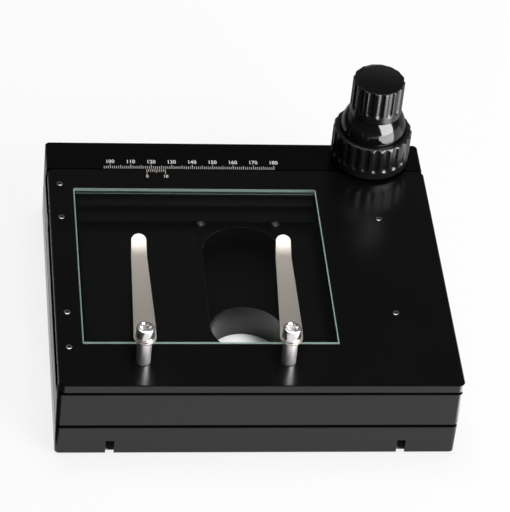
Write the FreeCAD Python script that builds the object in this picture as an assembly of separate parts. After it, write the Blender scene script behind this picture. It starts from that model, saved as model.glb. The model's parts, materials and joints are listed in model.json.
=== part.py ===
import FreeCAD, Part
import math
import os

# Mechanical microscope stage, two crossed slides with coaxial knobs. Millimetres, +Z up.
# The origin is where the axis of the light hole meets the underside of the base.
# X runs from left to right, Y from the front edge to the back.

# Body outline
body_width = 184.0
body_depth = 172.0
light_from_front = 61.0
light_radius = 17.8
body_corner = 2.2
body_edge_break = 0.5
foot_edge_break = 1.0

# Heights of the stack, from the bench up
base_plate_t = 10.2
rail_plate_t = 6.8
base_gap = 0.9
rail_height = 7.4
rail_clear = 0.4
web_t = 6.1
top_recess_depth = 6.6
plate_gap = 1.2
plate_t = 4.3

# Travels, with the stage at rest where the photograph shows it
y_forward = 40.5
y_backward = 9.5
x_leftward = 16.0
x_rightward = 59.0
stop_clear = 0.5

# Base
groove_spacing = 134.0
groove_width = 3.9
groove_height = 8.4
base_screw_inset = 11.0
mount_spacing_x = 110.0
mount_spacing_y = 70.0
mount_thread_r = 2.1
mount_thread_depth = 8.0

# Carriage
front_wall = 7.0
side_wall = 4.6
step_from_back = 50.8
step_height = 3.3
channel_back_wall = 15.5
slot_margin = 1.5
strip_depth = 20.0
strip_joint = 0.3
pin_spacing = 36.0
pin_centre_x = -1.0
pin_from_step = 3.8
pin_ball_r = 2.0
pin_ball_steps = 2
pin_shank_r = 1.3
pin_ball_height = 4.6
pin_seat_depth = 3.0
stop_pin_r = 2.0
stop_pin_x = -50.0
stop_pin_seat = 5.0
stop_pin_engagement = 1.4
stop_groove_depth = 2.0
strip_screw_inset = 20.0
strip_screw_from_knob = 25.0
strip_screw_floor = 3.2

# Crossed roller guides
rail_width = 6.0
x_rail_height = 6.0
guide_gap = 1.0
roller_d = 2.9
roller_length = 2.75
roller_fit = 0.05
roller_pitch = 13.5
x_roller_count = 8
y_roller_count = 7
cage_t = 0.5
cage_height = 5.0
cage_end = 5.0
cage_window_fit = 0.15
y_cage_shift = 8.5
x_rail_inset = 2.0
table_rail_inset = 4.0
x_rail_screw_inset = 20.0
y_rail_front_inset = 21.0
y_rail_back_inset = 3.0
y_rail_screw_inset = 14.0
x_groove_height = 3.2
front_guide_from_front = 7.8
guide_behind_step = 8.5

# Racks, pinions and shafts
tooth_module = 0.8
pressure_angle = 20.0
backlash = 0.12
x_pinion_teeth = 20
y_pinion_teeth = 16
pinion_width = 5.4
rack_floor_clear = 0.6
rack_strip_clear = 0.4
y_rack_back = 5.5
y_rack_screw_spacing = 34.0
x_rack_screw_spacing = 60.0
x_rack_end_clear = 4.0
knob_from_right = 25.2
shaft_r = 4.0
sleeve_r = 6.0
running_fit = 0.05
bush_r = 9.0
bush_flange_r = 11.5
bush_flange_t = 0.8
washer_t = 0.8
ring_axial_fit = 0.05
web_bush_r = 6.5
pinion_pocket_clear = 0.4

# Knobs
ring_r = 19.2
ring_height = 17.8
ring_flange = 5.8
ring_chamfer = 1.0
ring_flutes = 24
ring_seat_depth = 0.8
bell_r = 15.9
bell_neck_r = 12.1
bell_rim = 2.2
bell_height = 11.4
bell_clear = 0.4
bell_waist_r = 0.68
bell_waist_z = 0.56
cap_r = 12.6
cap_height = 18.2
cap_band = 5.4
cap_flutes = 16
cap_chamfer = 0.4
flute_r = 2.6
flute_depth = 0.8
flute_run_out = 1.6
flute_sides = 9
bell_steps = 4
disc_r = 11.5
disc_t = 0.8
disc_sink = 0.1
knob_web = 2.0
knob_screw_pocket = 4.6

# Table
table_offset = 0.5
plate_corner = 3.0
plate_edge_break = 0.4
glass_from_left = 11.7
glass_from_right = 54.6
glass_from_front = 27.5
glass_from_back = 14.2
glass_clear = 0.15
glass_lip = 2.0
glass_lip_t = 0.8
glass_corner = 0.8
glass_edge_break = 0.25
vernier_from_left = 44.7
vernier_width = 17.0
vernier_depth = 13.0
vernier_t = 0.8
vernier_fit = 0.05
bar_t = 3.2
left_bar_inset = 1.0
right_bar_from_right = 20.0
right_bar_width = 12.0
stop_block_end = 5.0
stop_screw_from_glass = 2.6
stop_block_depth = 7.0
table_screw_inset = 5.5
table_screw_spacing = 67.0
arm_screw_from_window = 1.9

# Stage clips
left_post_from_left = 38.5
right_post_from_right = 79.5
post_from_front = 16.0
post_r = 3.3
post_height = 14.2
post_stud_r = 1.5
clip_t = 0.9
clip_flat = 7.5
clip_reach = 70.6
clip_tip = 12.2
clip_tip_rise = 3.4
clip_bend_height = 0.25
clip_root_width = 10.4
clip_tip_width = 7.2
clip_axial_fit = 0.05
left_clip_turn = -1.7
right_clip_turn = -3.5
clip_washer_t = 0.9
clip_washer_r = 4.6
clip_hex = 4.0
clip_head_break = 0.4
clip_stud_clear = 1.0

# Small screws: head radius, head height, shank radius, shank length
rail_screw = (2.2, 1.7, 1.25, 9.0)
base_screw = (3.5, 4.0, 2.0, 8.5)
plate_screw = (1.6, 1.2, 1.0, 3.6)
knob_screw = (2.75, 3.0, 1.5, 8.0)
strip_screw = (2.75, 3.0, 1.5, 14.0)
stop_block_screw = (1.9, 1.6, 1.0, 4.0)
clip_screw = (4.2, 5.2, 2.0, 7.0)
table_screw_length = 7.6
base_screw_hex = 3.0
plate_screw_hex = 1.5
knob_screw_hex = 2.5
screw_fit = 0.05
head_fit = 0.15
head_sink = 0.3
head_room = 1.0

# Flat sides that stand for the round of small pieces made many times
peg_sides = 12

# Positions that follow from the sizes above
left = -body_width / 2
right = body_width / 2
front = -light_from_front
back = front + body_depth
base_top = base_plate_t + rail_plate_t
carriage_bottom = base_top + base_gap
web_bottom = base_top + rail_height + rail_clear
web_top = web_bottom + web_t
step_top = web_top + step_height
carriage_top = web_top + top_recess_depth
plate_bottom = carriage_top + plate_gap
plate_top = plate_bottom + plate_t
recess_front = front + front_wall
step_y = back - step_from_back
channel_front = step_y + guide_behind_step - rail_clear
channel_back = back - channel_back_wall
strip_front = back - strip_depth
plate_back = strip_front - strip_joint
plate_left = left + table_offset
plate_right = right + table_offset
knob_x = right - knob_from_right
knob_y = back - strip_depth / 2
slot_r = light_radius + slot_margin
glass_left = plate_left + glass_from_left
glass_right = plate_right - glass_from_right
glass_front = front + glass_from_front
glass_back = plate_back - glass_from_back
roller_half = (roller_d / 2 + roller_fit) * math.sqrt(2)
v_depth = roller_half - guide_gap / 2
x_guide_z = web_top + x_groove_height
y_guide_z = base_top + (rail_height + rail_clear) / 2
table_rail_bottom = web_top + rail_clear
rear_rail_y = step_y + guide_behind_step
front_rail_y = front + front_guide_from_front
rear_gap_y = rear_rail_y + rail_width
front_gap_y = front_rail_y + rail_width
right_guide_x = right - side_wall - rail_width
x_pinion_r = tooth_module * x_pinion_teeth / 2
y_pinion_r = tooth_module * y_pinion_teeth / 2
x_rack_line = knob_y - x_pinion_r
y_rack_line = knob_x - y_pinion_r
tooth_pitch = math.pi * tooth_module
addendum = 0.9 * tooth_module
dedendum = 1.25 * tooth_module
tilt = math.tan(math.radians(pressure_angle))
ring_washer_top = plate_top + bush_flange_t + washer_t
ring_bottom = ring_washer_top + ring_axial_fit
ring_top = ring_bottom + ring_height
bell_bottom = ring_top - ring_seat_depth + bell_clear
cap_bottom = bell_bottom + bell_height
cap_top = cap_bottom + cap_height
x_pinion_bottom = web_top + rack_floor_clear
y_pinion_bottom = base_top + rack_floor_clear + rail_clear
bar_bottom = plate_bottom - bar_t
left_bar_x = plate_left + left_bar_inset
post_y = front + post_from_front
post_top = plate_top + post_height


def vec(x, y, z):
    return FreeCAD.Vector(x, y, z)


def box(x0, x1, y0, y1, z0, z1):
    return Part.makeBox(x1 - x0, y1 - y0, z1 - z0, vec(x0, y0, z0))


def rod(x, y, z0, z1, r):
    return Part.makeCylinder(r, z1 - z0, vec(x, y, z0))


def prism(points, height):
    """A polygon of 3-D points pushed along Z."""
    wire = Part.makePolygon([vec(*p) for p in points + points[:1]])
    return Part.Face(wire).extrude(vec(0, 0, height))


def turned(outline, x, y):
    """A solid turned about the vertical through (x, y) from (radius, height) points."""
    points = [vec(r, 0, z) for r, z in outline]
    wire = Part.makePolygon(points + points[:1])
    solid = Part.Face(wire).revolve(vec(0, 0, 0), vec(0, 0, 1), 360)
    solid.translate(vec(x, y, 0))
    return solid


def upright_edges(shape):
    found = []
    for edge in shape.Edges:
        a, b = edge.Vertexes[0].Point, edge.Vertexes[-1].Point
        if abs(a.x - b.x) < 1e-6 and abs(a.y - b.y) < 1e-6:
            found.append(edge)
    return found


def level_edges(shape, z):
    return [e for e in shape.Edges if all(abs(v.Z - z) < 1e-6 for v in e.Vertexes)]


def slab(x0, x1, y0, y1, z0, z1, corner, top_break=0.0, bottom_break=0.0):
    """A flat block with rounded upright corners and broken long edges."""
    block = box(x0, x1, y0, y1, z0, z1)
    block = block.makeFillet(corner, upright_edges(block))
    if top_break:
        block = block.makeChamfer(top_break, level_edges(block, z1))
    if bottom_break:
        block = block.makeChamfer(bottom_break, level_edges(block, z0))
    return block


def ring_of_points(x, y, z, r, sides):
    turns = [2 * math.pi * k / sides for k in range(sides)]
    return [(x + r * math.cos(a), y + r * math.sin(a), z) for a in turns]


def peg(x, y, z0, z1, r):
    """A small round bar drawn with flat sides."""
    return prism(ring_of_points(x, y, z0, r, peg_sides), z1 - z0)


def hexagon(x, y, z0, z1, across):
    return prism(ring_of_points(x, y, z0, across / math.sqrt(3), 6), z1 - z0)


def screw(x, y, seat, size, up=False, socket=0.0):
    """A cap screw whose head sits on height seat; up turns its point upwards."""
    head_r, head_h, shank_r, length = size
    body = peg(0, 0, -length, 0, shank_r).fuse(peg(0, 0, 0, head_h, head_r))
    if socket:
        body = body.cut(hexagon(0, 0, head_h / 2, head_h, socket))
    if up:
        body.rotate(vec(0, 0, 0), vec(1, 0, 0), 180)
    body.translate(vec(x, y, seat))
    return body


def screw_hole(x, y, seat, size, reach, up=False):
    """The counterbored hole for that screw; reach is how far its head pocket runs past the head."""
    head_r, head_h, shank_r, length = size
    hole = peg(0, 0, -length - head_fit, 0, shank_r + screw_fit)
    hole = hole.fuse(peg(0, 0, 0, head_h + reach, head_r + head_fit))
    if up:
        hole.rotate(vec(0, 0, 0), vec(1, 0, 0), 180)
    hole.translate(vec(x, y, seat))
    return hole


def screws_at(places, seat, size, up=False, socket=0.0):
    return Part.makeCompound([screw(x, y, seat, size, up, socket) for x, y in places])


def screw_holes(places, seat, size, reach, up=False):
    return [screw_hole(x, y, seat, size, reach, up) for x, y in places]


def spaced(count, spacing, centre=0.0):
    return [centre + spacing * (k - (count - 1) / 2) for k in range(count)]


def save(name, shape):
    solids = shape.Solids
    assert solids and all(s.isValid() for s in solids), name
    result = solids[0] if len(solids) == 1 else Part.makeCompound(solids)
    result.exportStep(os.path.join("parts", name + ".step"))
    print(name, len(solids), round(sum(s.Volume for s in solids), 1))


# Base

base_screw_seat = base_screw[1] + foot_edge_break / 2
base_screw_places = [
    (x, y)
    for x in (left + base_screw_inset, right - base_screw_inset)
    for y in (front + base_screw_inset, back - base_screw_inset)
]
mount_places = [(x, y) for x in spaced(2, mount_spacing_x) for y in spaced(2, mount_spacing_y)]


def base_plate():
    plate = slab(left, right, front, back, 0, base_plate_t, body_corner, 0, foot_edge_break)
    cuts = [rod(0, 0, 0, base_plate_t, light_radius)]
    for x in spaced(2, groove_spacing):
        half = groove_width / 2
        cuts.append(box(x - half, x + half, front, back, 0, groove_height))
        mouth = [
            (x - half - foot_edge_break, front, 0),
            (x + half + foot_edge_break, front, 0),
            (x, front, half + foot_edge_break),
        ]
        wire = Part.makePolygon([vec(*p) for p in mouth + mouth[:1]])
        cuts.append(Part.Face(wire).extrude(vec(0, body_depth, 0)))
    cuts += screw_holes(base_screw_places, base_screw_seat, base_screw, base_screw_seat, up=True)
    cuts += [rod(x, y, 0, mount_thread_depth, mount_thread_r) for x, y in mount_places]
    return plate.cut(cuts)


def base_screws():
    return screws_at(base_screw_places, base_screw_seat, base_screw, True, base_screw_hex)


# Guide rails

y_rail_front = front + y_rail_front_inset
y_rail_back = back - y_rail_back_inset
y_rail_length = y_rail_back - y_rail_front
y_rail_centre = (y_rail_front + y_rail_back) / 2
carriage_y_rail_front = recess_front + rail_clear
carriage_y_rail_centre = carriage_y_rail_front + y_rail_length / 2
rail_hole_inset = rail_width - rail_screw[0] - head_sink


def rail(along, face, facing, start, length, z0, z1, groove_z):
    """A guide rail whose V groove is in the side at face and opens towards facing."""
    rear = face - facing * rail_width
    deep = face - facing * v_depth
    outline = [
        (rear, z0),
        (face, z0),
        (face, groove_z - v_depth),
        (deep, groove_z),
        (face, groove_z + v_depth),
        (face, z1),
        (rear, z1),
    ]
    if along == "y":
        points = [vec(u, start, z) for u, z in outline]
        push = vec(0, length, 0)
    else:
        points = [vec(start, u, z) for u, z in outline]
        push = vec(length, 0, 0)
    return Part.Face(Part.makePolygon(points + points[:1])).extrude(push)


def y_rail_screw_places(side, base_side):
    """Screw centres of the rail on side -1 or 1; base rails are the inner ones."""
    if base_side:
        x = side * (right_guide_x - guide_gap - rail_hole_inset)
        centre = y_rail_centre
    else:
        x = side * (right_guide_x + rail_hole_inset)
        centre = carriage_y_rail_centre
    return [(x, y) for y in spaced(2, y_rail_length - 2 * y_rail_screw_inset, centre)]


base_rail_seat = base_top + rail_height - rail_screw[1] - head_sink
carriage_rail_seat = base_top + rail_clear + rail_screw[1] + head_sink


def base_rail(side):
    face = side * (right_guide_x - guide_gap)
    body = rail("y", face, side, y_rail_front, y_rail_length, base_top, base_top + rail_height, y_guide_z)
    return body.cut(screw_holes(y_rail_screw_places(side, True), base_rail_seat, rail_screw, head_room))


def carriage_y_rail(side):
    face = side * right_guide_x
    bottom = base_top + rail_clear
    body = rail("y", face, -side, carriage_y_rail_front, y_rail_length, bottom, web_bottom, y_guide_z)
    places = y_rail_screw_places(side, False)
    return body.cut(screw_holes(places, carriage_rail_seat, rail_screw, head_room, up=True))


def rail_plate():
    plate = slab(left, right, front, back, base_plate_t, base_top, body_corner, body_edge_break)
    cuts = [rod(0, 0, base_plate_t, base_top, light_radius)]
    cuts += screw_holes(base_screw_places, base_screw_seat, base_screw, 0, up=True)
    for side in (-1, 1):
        cuts += screw_holes(y_rail_screw_places(side, True), base_rail_seat, rail_screw, 0)
    cuts += screw_holes(y_rack_screw_places, y_rack_seat, rail_screw, 0)
    cuts.append(rod(stop_pin_x, 0, base_top - stop_pin_seat, base_top, stop_pin_r))
    return plate.cut(cuts)


def y_stop_pin():
    return rod(stop_pin_x, 0, base_top - stop_pin_seat, web_bottom + stop_pin_engagement, stop_pin_r)


# Rack and pinion teeth

def rack(line, facing, centre, first, last, back_face, z0, z1, along):
    """Straight teeth with tips towards facing, and a gap opposite centre."""
    half = tooth_pitch / 4 - backlash / 4
    start = math.ceil((first - centre) / tooth_pitch - 0.5)
    stop = math.floor((last - centre) / tooth_pitch - 0.5)
    outline = [(first, back_face), (first, line - facing * dedendum)]
    for k in range(start, stop + 1):
        middle = centre + (k + 0.5) * tooth_pitch
        foot = half + dedendum * tilt
        tip = half - addendum * tilt
        if middle - foot < first or middle + foot > last:
            continue
        outline.append((middle - foot, line - facing * dedendum))
        outline.append((middle - tip, line + facing * addendum))
        outline.append((middle + tip, line + facing * addendum))
        outline.append((middle + foot, line - facing * dedendum))
    outline += [(last, line - facing * dedendum), (last, back_face)]
    if along == "x":
        points = [(s, u, z0) for s, u in outline]
    else:
        points = [(u, s, z0) for s, u in outline]
    return prism(points, z1 - z0)


def involute(angle):
    return math.tan(angle) - angle


def pinion(x, y, z0, z1, teeth, bore, toward):
    """A spur gear with involute flanks and one tooth pointing at angle toward."""
    pitch_r = tooth_module * teeth / 2
    base_r = pitch_r * math.cos(math.radians(pressure_angle))
    root_r = pitch_r - dedendum
    tip_r = pitch_r + addendum
    at_pitch = math.pi / (2 * teeth) - backlash / (4 * pitch_r) + involute(math.radians(pressure_angle))
    steps = 3
    flank = []
    for k in range(steps + 1):
        r = base_r + (tip_r - base_r) * k / steps
        flank.append((r, at_pitch - involute(math.acos(min(1.0, base_r / r)))))
    if root_r < base_r:
        flank.insert(0, (root_r, at_pitch))
    points = []
    for k in range(teeth):
        middle = math.radians(toward) + 2 * math.pi * k / teeth
        side = [(r, middle - half) for r, half in flank] + [(r, middle + half) for r, half in flank[::-1]]
        points += [(x + r * math.cos(a), y + r * math.sin(a), z0) for r, a in side]
    return prism(points, z1 - z0).cut(rod(x, y, z0, z1, bore))


y_rack_first = knob_y - y_forward - y_pinion_r
y_rack_last = back - rail_clear
y_rack_rear = y_rack_line - dedendum - y_rack_back
y_rack_top = web_bottom - rail_clear - rack_floor_clear
y_rack_seat = y_rack_top - rail_screw[1] - head_sink
y_rack_screw_x = y_rack_rear + y_rack_back / 2
y_rack_middle = (y_rack_first + y_rack_last) / 2
y_rack_screw_places = [(y_rack_screw_x, y) for y in spaced(2, y_rack_screw_spacing, y_rack_middle)]


def y_rack():
    ends = (y_rack_first, y_rack_last)
    body = rack(y_rack_line, 1, knob_y, *ends, y_rack_rear, base_top, y_rack_top, "y")
    return body.cut(screw_holes(y_rack_screw_places, y_rack_seat, rail_screw, head_room))


def base_rail_screws():
    places = y_rail_screw_places(-1, True) + y_rail_screw_places(1, True)
    return screws_at(places, base_rail_seat, rail_screw)


def y_rack_screws():
    return screws_at(y_rack_screw_places, y_rack_seat, rail_screw)


# Carriage

x_rail_length = body_width - 2 * x_rail_inset
table_rail_length = body_width - 2 * table_rail_inset
x_rail_screw_spacing = body_width - 2 * x_rail_screw_inset
carriage_x_rail_left = -x_rail_length / 2
x_rail_screw_seat = web_top + x_rail_height - rail_screw[1] - head_sink
strip_screw_seat = web_bottom + strip_screw_floor
strip_screw_xs = (left + strip_screw_inset, knob_x - strip_screw_from_knob)
strip_screw_places = [(x, back - strip_depth / 4) for x in strip_screw_xs]
pins_y = step_y - pin_from_step
pin_places = [(pin_centre_x + s * pin_spacing / 2, pins_y) for s in (-1, 1)]
pinion_pocket_r = x_pinion_r + addendum + pinion_pocket_clear


def x_rail_screw_places(gap_y, facing, shift):
    """Screw centres of an X rail whose groove opens at gap_y towards facing."""
    y = gap_y - facing * rail_hole_inset
    return [(x, y) for x in spaced(2, x_rail_screw_spacing, shift)]


carriage_rear_face = rear_gap_y
carriage_front_face = front_gap_y + guide_gap
carriage_x_rail_places = x_rail_screw_places(carriage_rear_face, 1, 0.0)
carriage_x_rail_places += x_rail_screw_places(carriage_front_face, -1, 0.0)


def slot(z0, z1):
    """The long round-ended window that keeps the light hole clear over the whole Y travel."""
    ends = [rod(0, -y_backward, z0, z1, slot_r), rod(0, y_forward, z0, z1, slot_r)]
    return box(-slot_r, slot_r, -y_backward, y_forward, z0, z1).fuse(ends).removeSplitter()


def carriage_body():
    edge = body_edge_break
    body = slab(left, right, front, back, carriage_bottom, carriage_top, body_corner, edge, edge)
    cuts = [
        box(left, right, recess_front, step_y, web_top, carriage_top),
        box(left, right, step_y, channel_front, step_top, carriage_top),
        box(left, right, channel_front, channel_back, web_top, carriage_top),
        box(left + side_wall, right - side_wall, recess_front, back, carriage_bottom, web_bottom),
        slot(web_bottom, web_top),
        rod(knob_x, knob_y, web_top, carriage_top, pinion_pocket_r),
        rod(knob_x, knob_y, web_bottom, web_top, web_bush_r),
    ]
    groove_front = -y_backward - stop_clear
    groove_back = y_forward + stop_clear
    groove_top = web_bottom + stop_groove_depth
    half = stop_pin_r + running_fit
    pin_left = stop_pin_x - half
    pin_right = stop_pin_x + half
    cuts.append(rod(stop_pin_x, groove_front, web_bottom, groove_top, half))
    cuts.append(rod(stop_pin_x, groove_back, web_bottom, groove_top, half))
    cuts.append(box(pin_left, pin_right, groove_front, groove_back, web_bottom, groove_top))
    for side in (-1, 1):
        cuts += screw_holes(y_rail_screw_places(side, False), carriage_rail_seat, rail_screw, 0, up=True)
    cuts += screw_holes(carriage_x_rail_places, x_rail_screw_seat, rail_screw, 0)
    cuts += screw_holes(strip_screw_places, strip_screw_seat, strip_screw, strip_screw_floor, up=True)
    cuts += [rod(x, y, web_top - pin_seat_depth, web_top, pin_shank_r) for x, y in pin_places]
    return body.cut(cuts)


def scale_strip():
    strip = box(left, right, strip_front, back, carriage_top, plate_top)
    strip = strip.makeFillet(body_corner, [e for e in upright_edges(strip) if e.CenterOfMass.y > knob_y])
    rim = [e for e in level_edges(strip, plate_top) if e.CenterOfMass.y > strip_front + plate_edge_break]
    strip = strip.makeChamfer(plate_edge_break, rim)
    cuts = [rod(knob_x, knob_y, carriage_top, plate_top, bush_r)]
    cuts += screw_holes(strip_screw_places, strip_screw_seat, strip_screw, 0, up=True)
    return strip.cut(cuts)


def strip_screws():
    return screws_at(strip_screw_places, strip_screw_seat, strip_screw, True)


def carriage_y_rail_screws():
    places = y_rail_screw_places(-1, False) + y_rail_screw_places(1, False)
    return screws_at(places, carriage_rail_seat, rail_screw, True)


def carriage_x_rail(gap_y, facing):
    top = web_top + x_rail_height
    body = rail("x", gap_y, facing, carriage_x_rail_left, x_rail_length, web_top, top, x_guide_z)
    places = x_rail_screw_places(gap_y, facing, 0.0)
    return body.cut(screw_holes(places, x_rail_screw_seat, rail_screw, head_room))


def carriage_x_rail_screws():
    return screws_at(carriage_x_rail_places, x_rail_screw_seat, rail_screw)


def ball_pins():
    """Two ball-headed pins on the web that stop the table at its ends of travel."""
    centre = web_top + pin_ball_height
    profile = [(0, web_top - pin_seat_depth), (pin_shank_r, web_top - pin_seat_depth)]
    neck = math.asin(pin_shank_r / pin_ball_r) - math.pi / 2
    for k in range(pin_ball_steps + 1):
        a = neck + (math.pi / 2 - neck) * k / pin_ball_steps
        profile.append((pin_ball_r * math.cos(a), centre + pin_ball_r * math.sin(a)))
    return Part.makeCompound([turned(profile, x, y) for x, y in pin_places])


def knob_bearing():
    profile = [
        (sleeve_r + running_fit, carriage_top),
        (bush_r, carriage_top),
        (bush_r, plate_top),
        (bush_flange_r, plate_top),
        (bush_flange_r, plate_top + bush_flange_t),
        (sleeve_r + running_fit, plate_top + bush_flange_t),
    ]
    return turned(profile, knob_x, knob_y)


def web_bush():
    outer = rod(knob_x, knob_y, web_bottom, web_top, web_bush_r)
    return outer.cut(rod(knob_x, knob_y, web_bottom, web_top, shaft_r + running_fit))


# Roller cages

x_cage_centre = table_offset
y_cage_centre = y_rail_centre - (y_forward - y_backward) / 2 + y_cage_shift


def rollers_and_cage(along, gap_centre, guide_z, centre, count):
    """Crossed rollers that lean 45 degrees to either side by turns, and the strip that spaces them."""

    def across(s0, s1, half_t, half_z):
        low = guide_z - half_z
        high = guide_z + half_z
        if along == "x":
            return box(s0, s1, gap_centre - half_t, gap_centre + half_t, low, high)
        return box(gap_centre - half_t, gap_centre + half_t, s0, s1, low, high)

    half_length = roller_pitch * (count - 1) / 2 + cage_end
    half_window = roller_d / 2 + cage_window_fit
    window_half_z = roller_half - running_fit
    windows = []
    rollers = []
    for k, s in enumerate(spaced(count, roller_pitch, centre)):
        lean = 1 if k % 2 else -1
        if along == "x":
            direction = vec(0, 1, lean)
            middle = vec(s, gap_centre, guide_z)
        else:
            direction = vec(1, 0, lean)
            middle = vec(gap_centre, s, guide_z)
        direction.normalize()
        roller = peg(0, 0, -roller_length / 2, roller_length / 2, roller_d / 2)
        roller.Placement = FreeCAD.Placement(middle, FreeCAD.Rotation(vec(0, 0, 1), direction))
        rollers.append(roller)
        windows.append(across(s - half_window, s + half_window, cage_t, window_half_z))
    cage = across(centre - half_length, centre + half_length, cage_t / 2, cage_height / 2)
    return Part.makeCompound(rollers), cage.cut(windows)


# Table

table_rail_centre = table_offset
table_x_rail_left = table_rail_centre - table_rail_length / 2
table_rail_seat = table_rail_bottom + rail_screw[1] + head_sink
table_rear_face = rear_gap_y + guide_gap
table_front_face = front_gap_y
table_rail_screw = rail_screw[:3] + (table_screw_length,)
table_rail_places = x_rail_screw_places(table_rear_face, -1, table_rail_centre)
table_rail_places += x_rail_screw_places(table_front_face, 1, table_rail_centre)
x_rack_first = knob_x - x_rightward - x_pinion_r
x_rack_last = min(knob_x + x_leftward + x_pinion_r, plate_right - x_rack_end_clear)
x_rack_front = table_rear_face + rail_width + rail_clear
x_rack_bottom = web_top + rack_floor_clear
x_rack_seat = x_rack_bottom + rail_screw[1] + head_sink
x_rack_shelf = plate_back - rail_clear
x_rack_screw_y = (x_rack_front + x_rack_line - dedendum) / 2
x_rack_middle = (x_rack_first + x_rack_last) / 2
x_rack_screw_places = [(x, x_rack_screw_y) for x in spaced(2, x_rack_screw_spacing, x_rack_middle)]
lip_front = glass_front + glass_lip
lip_back = glass_back - glass_lip
lip_right = glass_right - glass_lip
glass_middle_y = (glass_front + glass_back) / 2
table_screw_ys = spaced(2, table_screw_spacing, glass_middle_y)
bar_screw_x = plate_left + table_screw_inset
bar_screw_places = [(bar_screw_x, y) for y in table_screw_ys]
right_bar_x = plate_right - right_bar_from_right - right_bar_width
right_screw_places = [(right_bar_x + right_bar_width / 2, y) for y in table_screw_ys]
front_arm_screw = (bar_screw_x, glass_front - arm_screw_from_window)
rear_arm_screw = (bar_screw_x, table_rear_face + (v_depth + rail_width) / 2)
plate_screw_places = right_screw_places + [front_arm_screw, rear_arm_screw]
plate_screw_seat = plate_top - plate_screw[1]
stop_block_left = pin_places[1][0] + pin_ball_r + x_leftward + stop_clear
stop_block_seat = bar_bottom + stop_block_screw[1]
stop_screw_x = max(stop_block_left + stop_block_end, glass_right + stop_screw_from_glass)
stop_block_place = (stop_screw_x, pins_y)
left_bar_width = pin_places[0][0] - pin_ball_r - x_rightward - stop_clear - left_bar_x
bar_front = front_gap_y + guide_gap + rail_width + 2 * rail_clear
bar_back = step_y - stop_clear
post_places = [(plate_left + left_post_from_left, post_y), (plate_right - right_post_from_right, post_y)]
post_stud_depth = plate_t - clip_stud_clear
vernier_left = plate_left + vernier_from_left
vernier_right = vernier_left + vernier_width
vernier_front = plate_back - vernier_depth


def top_plate():
    plate = slab(
        plate_left, plate_right, front, plate_back, plate_bottom, plate_top, plate_corner, plate_edge_break
    )
    ledge = plate_bottom + glass_lip_t
    cuts = [
        box(plate_left, glass_right, glass_front, glass_back, ledge, plate_top),
        box(plate_left, glass_left, glass_front, glass_back, plate_bottom, plate_top),
        box(plate_left, lip_right, lip_front, lip_back, plate_bottom, plate_top),
        box(vernier_left, vernier_right, vernier_front, plate_back, plate_top - vernier_t, plate_top),
    ]
    cuts += screw_holes(plate_screw_places, plate_screw_seat, plate_screw, 0)
    cuts += screw_holes(table_rail_places, table_rail_seat, table_rail_screw, 0, up=True)
    cuts += screw_holes(x_rack_screw_places, x_rack_seat, table_rail_screw, 0, up=True)
    cuts.append(screw_hole(*stop_block_place, stop_block_seat, stop_block_screw, 0, up=True))
    cuts += [rod(x, y, plate_top - post_stud_depth, plate_top, post_stud_r) for x, y in post_places]
    return plate.cut(cuts)


def vernier_plate():
    x0 = vernier_left + vernier_fit
    x1 = vernier_right - vernier_fit
    return box(x0, x1, vernier_front + vernier_fit, plate_back, plate_top - vernier_t, plate_top)


def end_bar():
    """The separate strip that closes the left side of the window and carries the glass there."""
    fit = glass_clear
    bar = box(plate_left, glass_left, glass_front + fit, glass_back - fit, plate_bottom, plate_top)
    edge = [e for e in level_edges(bar, plate_top) if e.CenterOfMass.x < plate_left + plate_edge_break]
    bar = bar.makeChamfer(plate_edge_break, edge)
    lip_top = plate_bottom + glass_lip_t
    lip = box(glass_left, glass_left + glass_lip, lip_front + fit, lip_back - fit, plate_bottom, lip_top)
    bar = bar.fuse(lip).removeSplitter()
    return bar.cut(screw_holes(bar_screw_places, plate_screw_seat, plate_screw, 0))


def stage_glass():
    x0 = glass_left + glass_clear
    x1 = glass_right - glass_clear
    y0 = glass_front + glass_clear
    y1 = glass_back - glass_clear
    low = plate_bottom + glass_lip_t
    return slab(x0, x1, y0, y1, low, plate_top, glass_corner, glass_edge_break, glass_edge_break)


def table_x_rail(face, facing):
    low = table_rail_bottom
    body = rail("x", face, facing, table_x_rail_left, table_rail_length, low, plate_bottom, x_guide_z)
    places = x_rail_screw_places(face, facing, table_rail_centre)
    cuts = screw_holes(places, table_rail_seat, table_rail_screw, head_room, up=True)
    if facing < 0:
        cuts.append(screw_hole(*rear_arm_screw, plate_screw_seat, plate_screw, 0))
    return body.cut(cuts)


def table_rail_screws():
    return screws_at(table_rail_places, table_rail_seat, table_rail_screw, True)


def x_rack():
    top = carriage_top - rack_strip_clear
    low = x_rack_bottom
    teeth = rack(x_rack_line, 1, knob_x, x_rack_first, x_rack_last, x_rack_front, low, top, "x")
    head = box(x_rack_first, x_rack_last, x_rack_front, x_rack_shelf, top, plate_bottom)
    body = teeth.fuse(head).removeSplitter()
    return body.cut(screw_holes(x_rack_screw_places, x_rack_seat, table_rail_screw, head_room, up=True))


def x_rack_screws():
    return screws_at(x_rack_screw_places, x_rack_seat, table_rail_screw, True)


def left_cross_bar():
    bar = box(left_bar_x, left_bar_x + left_bar_width, bar_front, bar_back, bar_bottom, plate_bottom)
    return bar.cut(screw_holes(bar_screw_places + [front_arm_screw], plate_screw_seat, plate_screw, 0))


def right_cross_bar():
    x1 = right_bar_x + right_bar_width
    bar = box(right_bar_x, x1, bar_front, bar_back, bar_bottom, plate_bottom)
    return bar.cut(screw_holes(right_screw_places, plate_screw_seat, plate_screw, 0))


def x_stop_block():
    x1 = stop_screw_x + stop_block_end
    y0 = pins_y - stop_block_depth / 2
    block = box(stop_block_left, x1, y0, bar_back, bar_bottom, plate_bottom)
    return block.cut(screw_hole(*stop_block_place, stop_block_seat, stop_block_screw, head_room, up=True))


def x_stop_screw():
    return screw(*stop_block_place, stop_block_seat, stop_block_screw, True)


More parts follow.
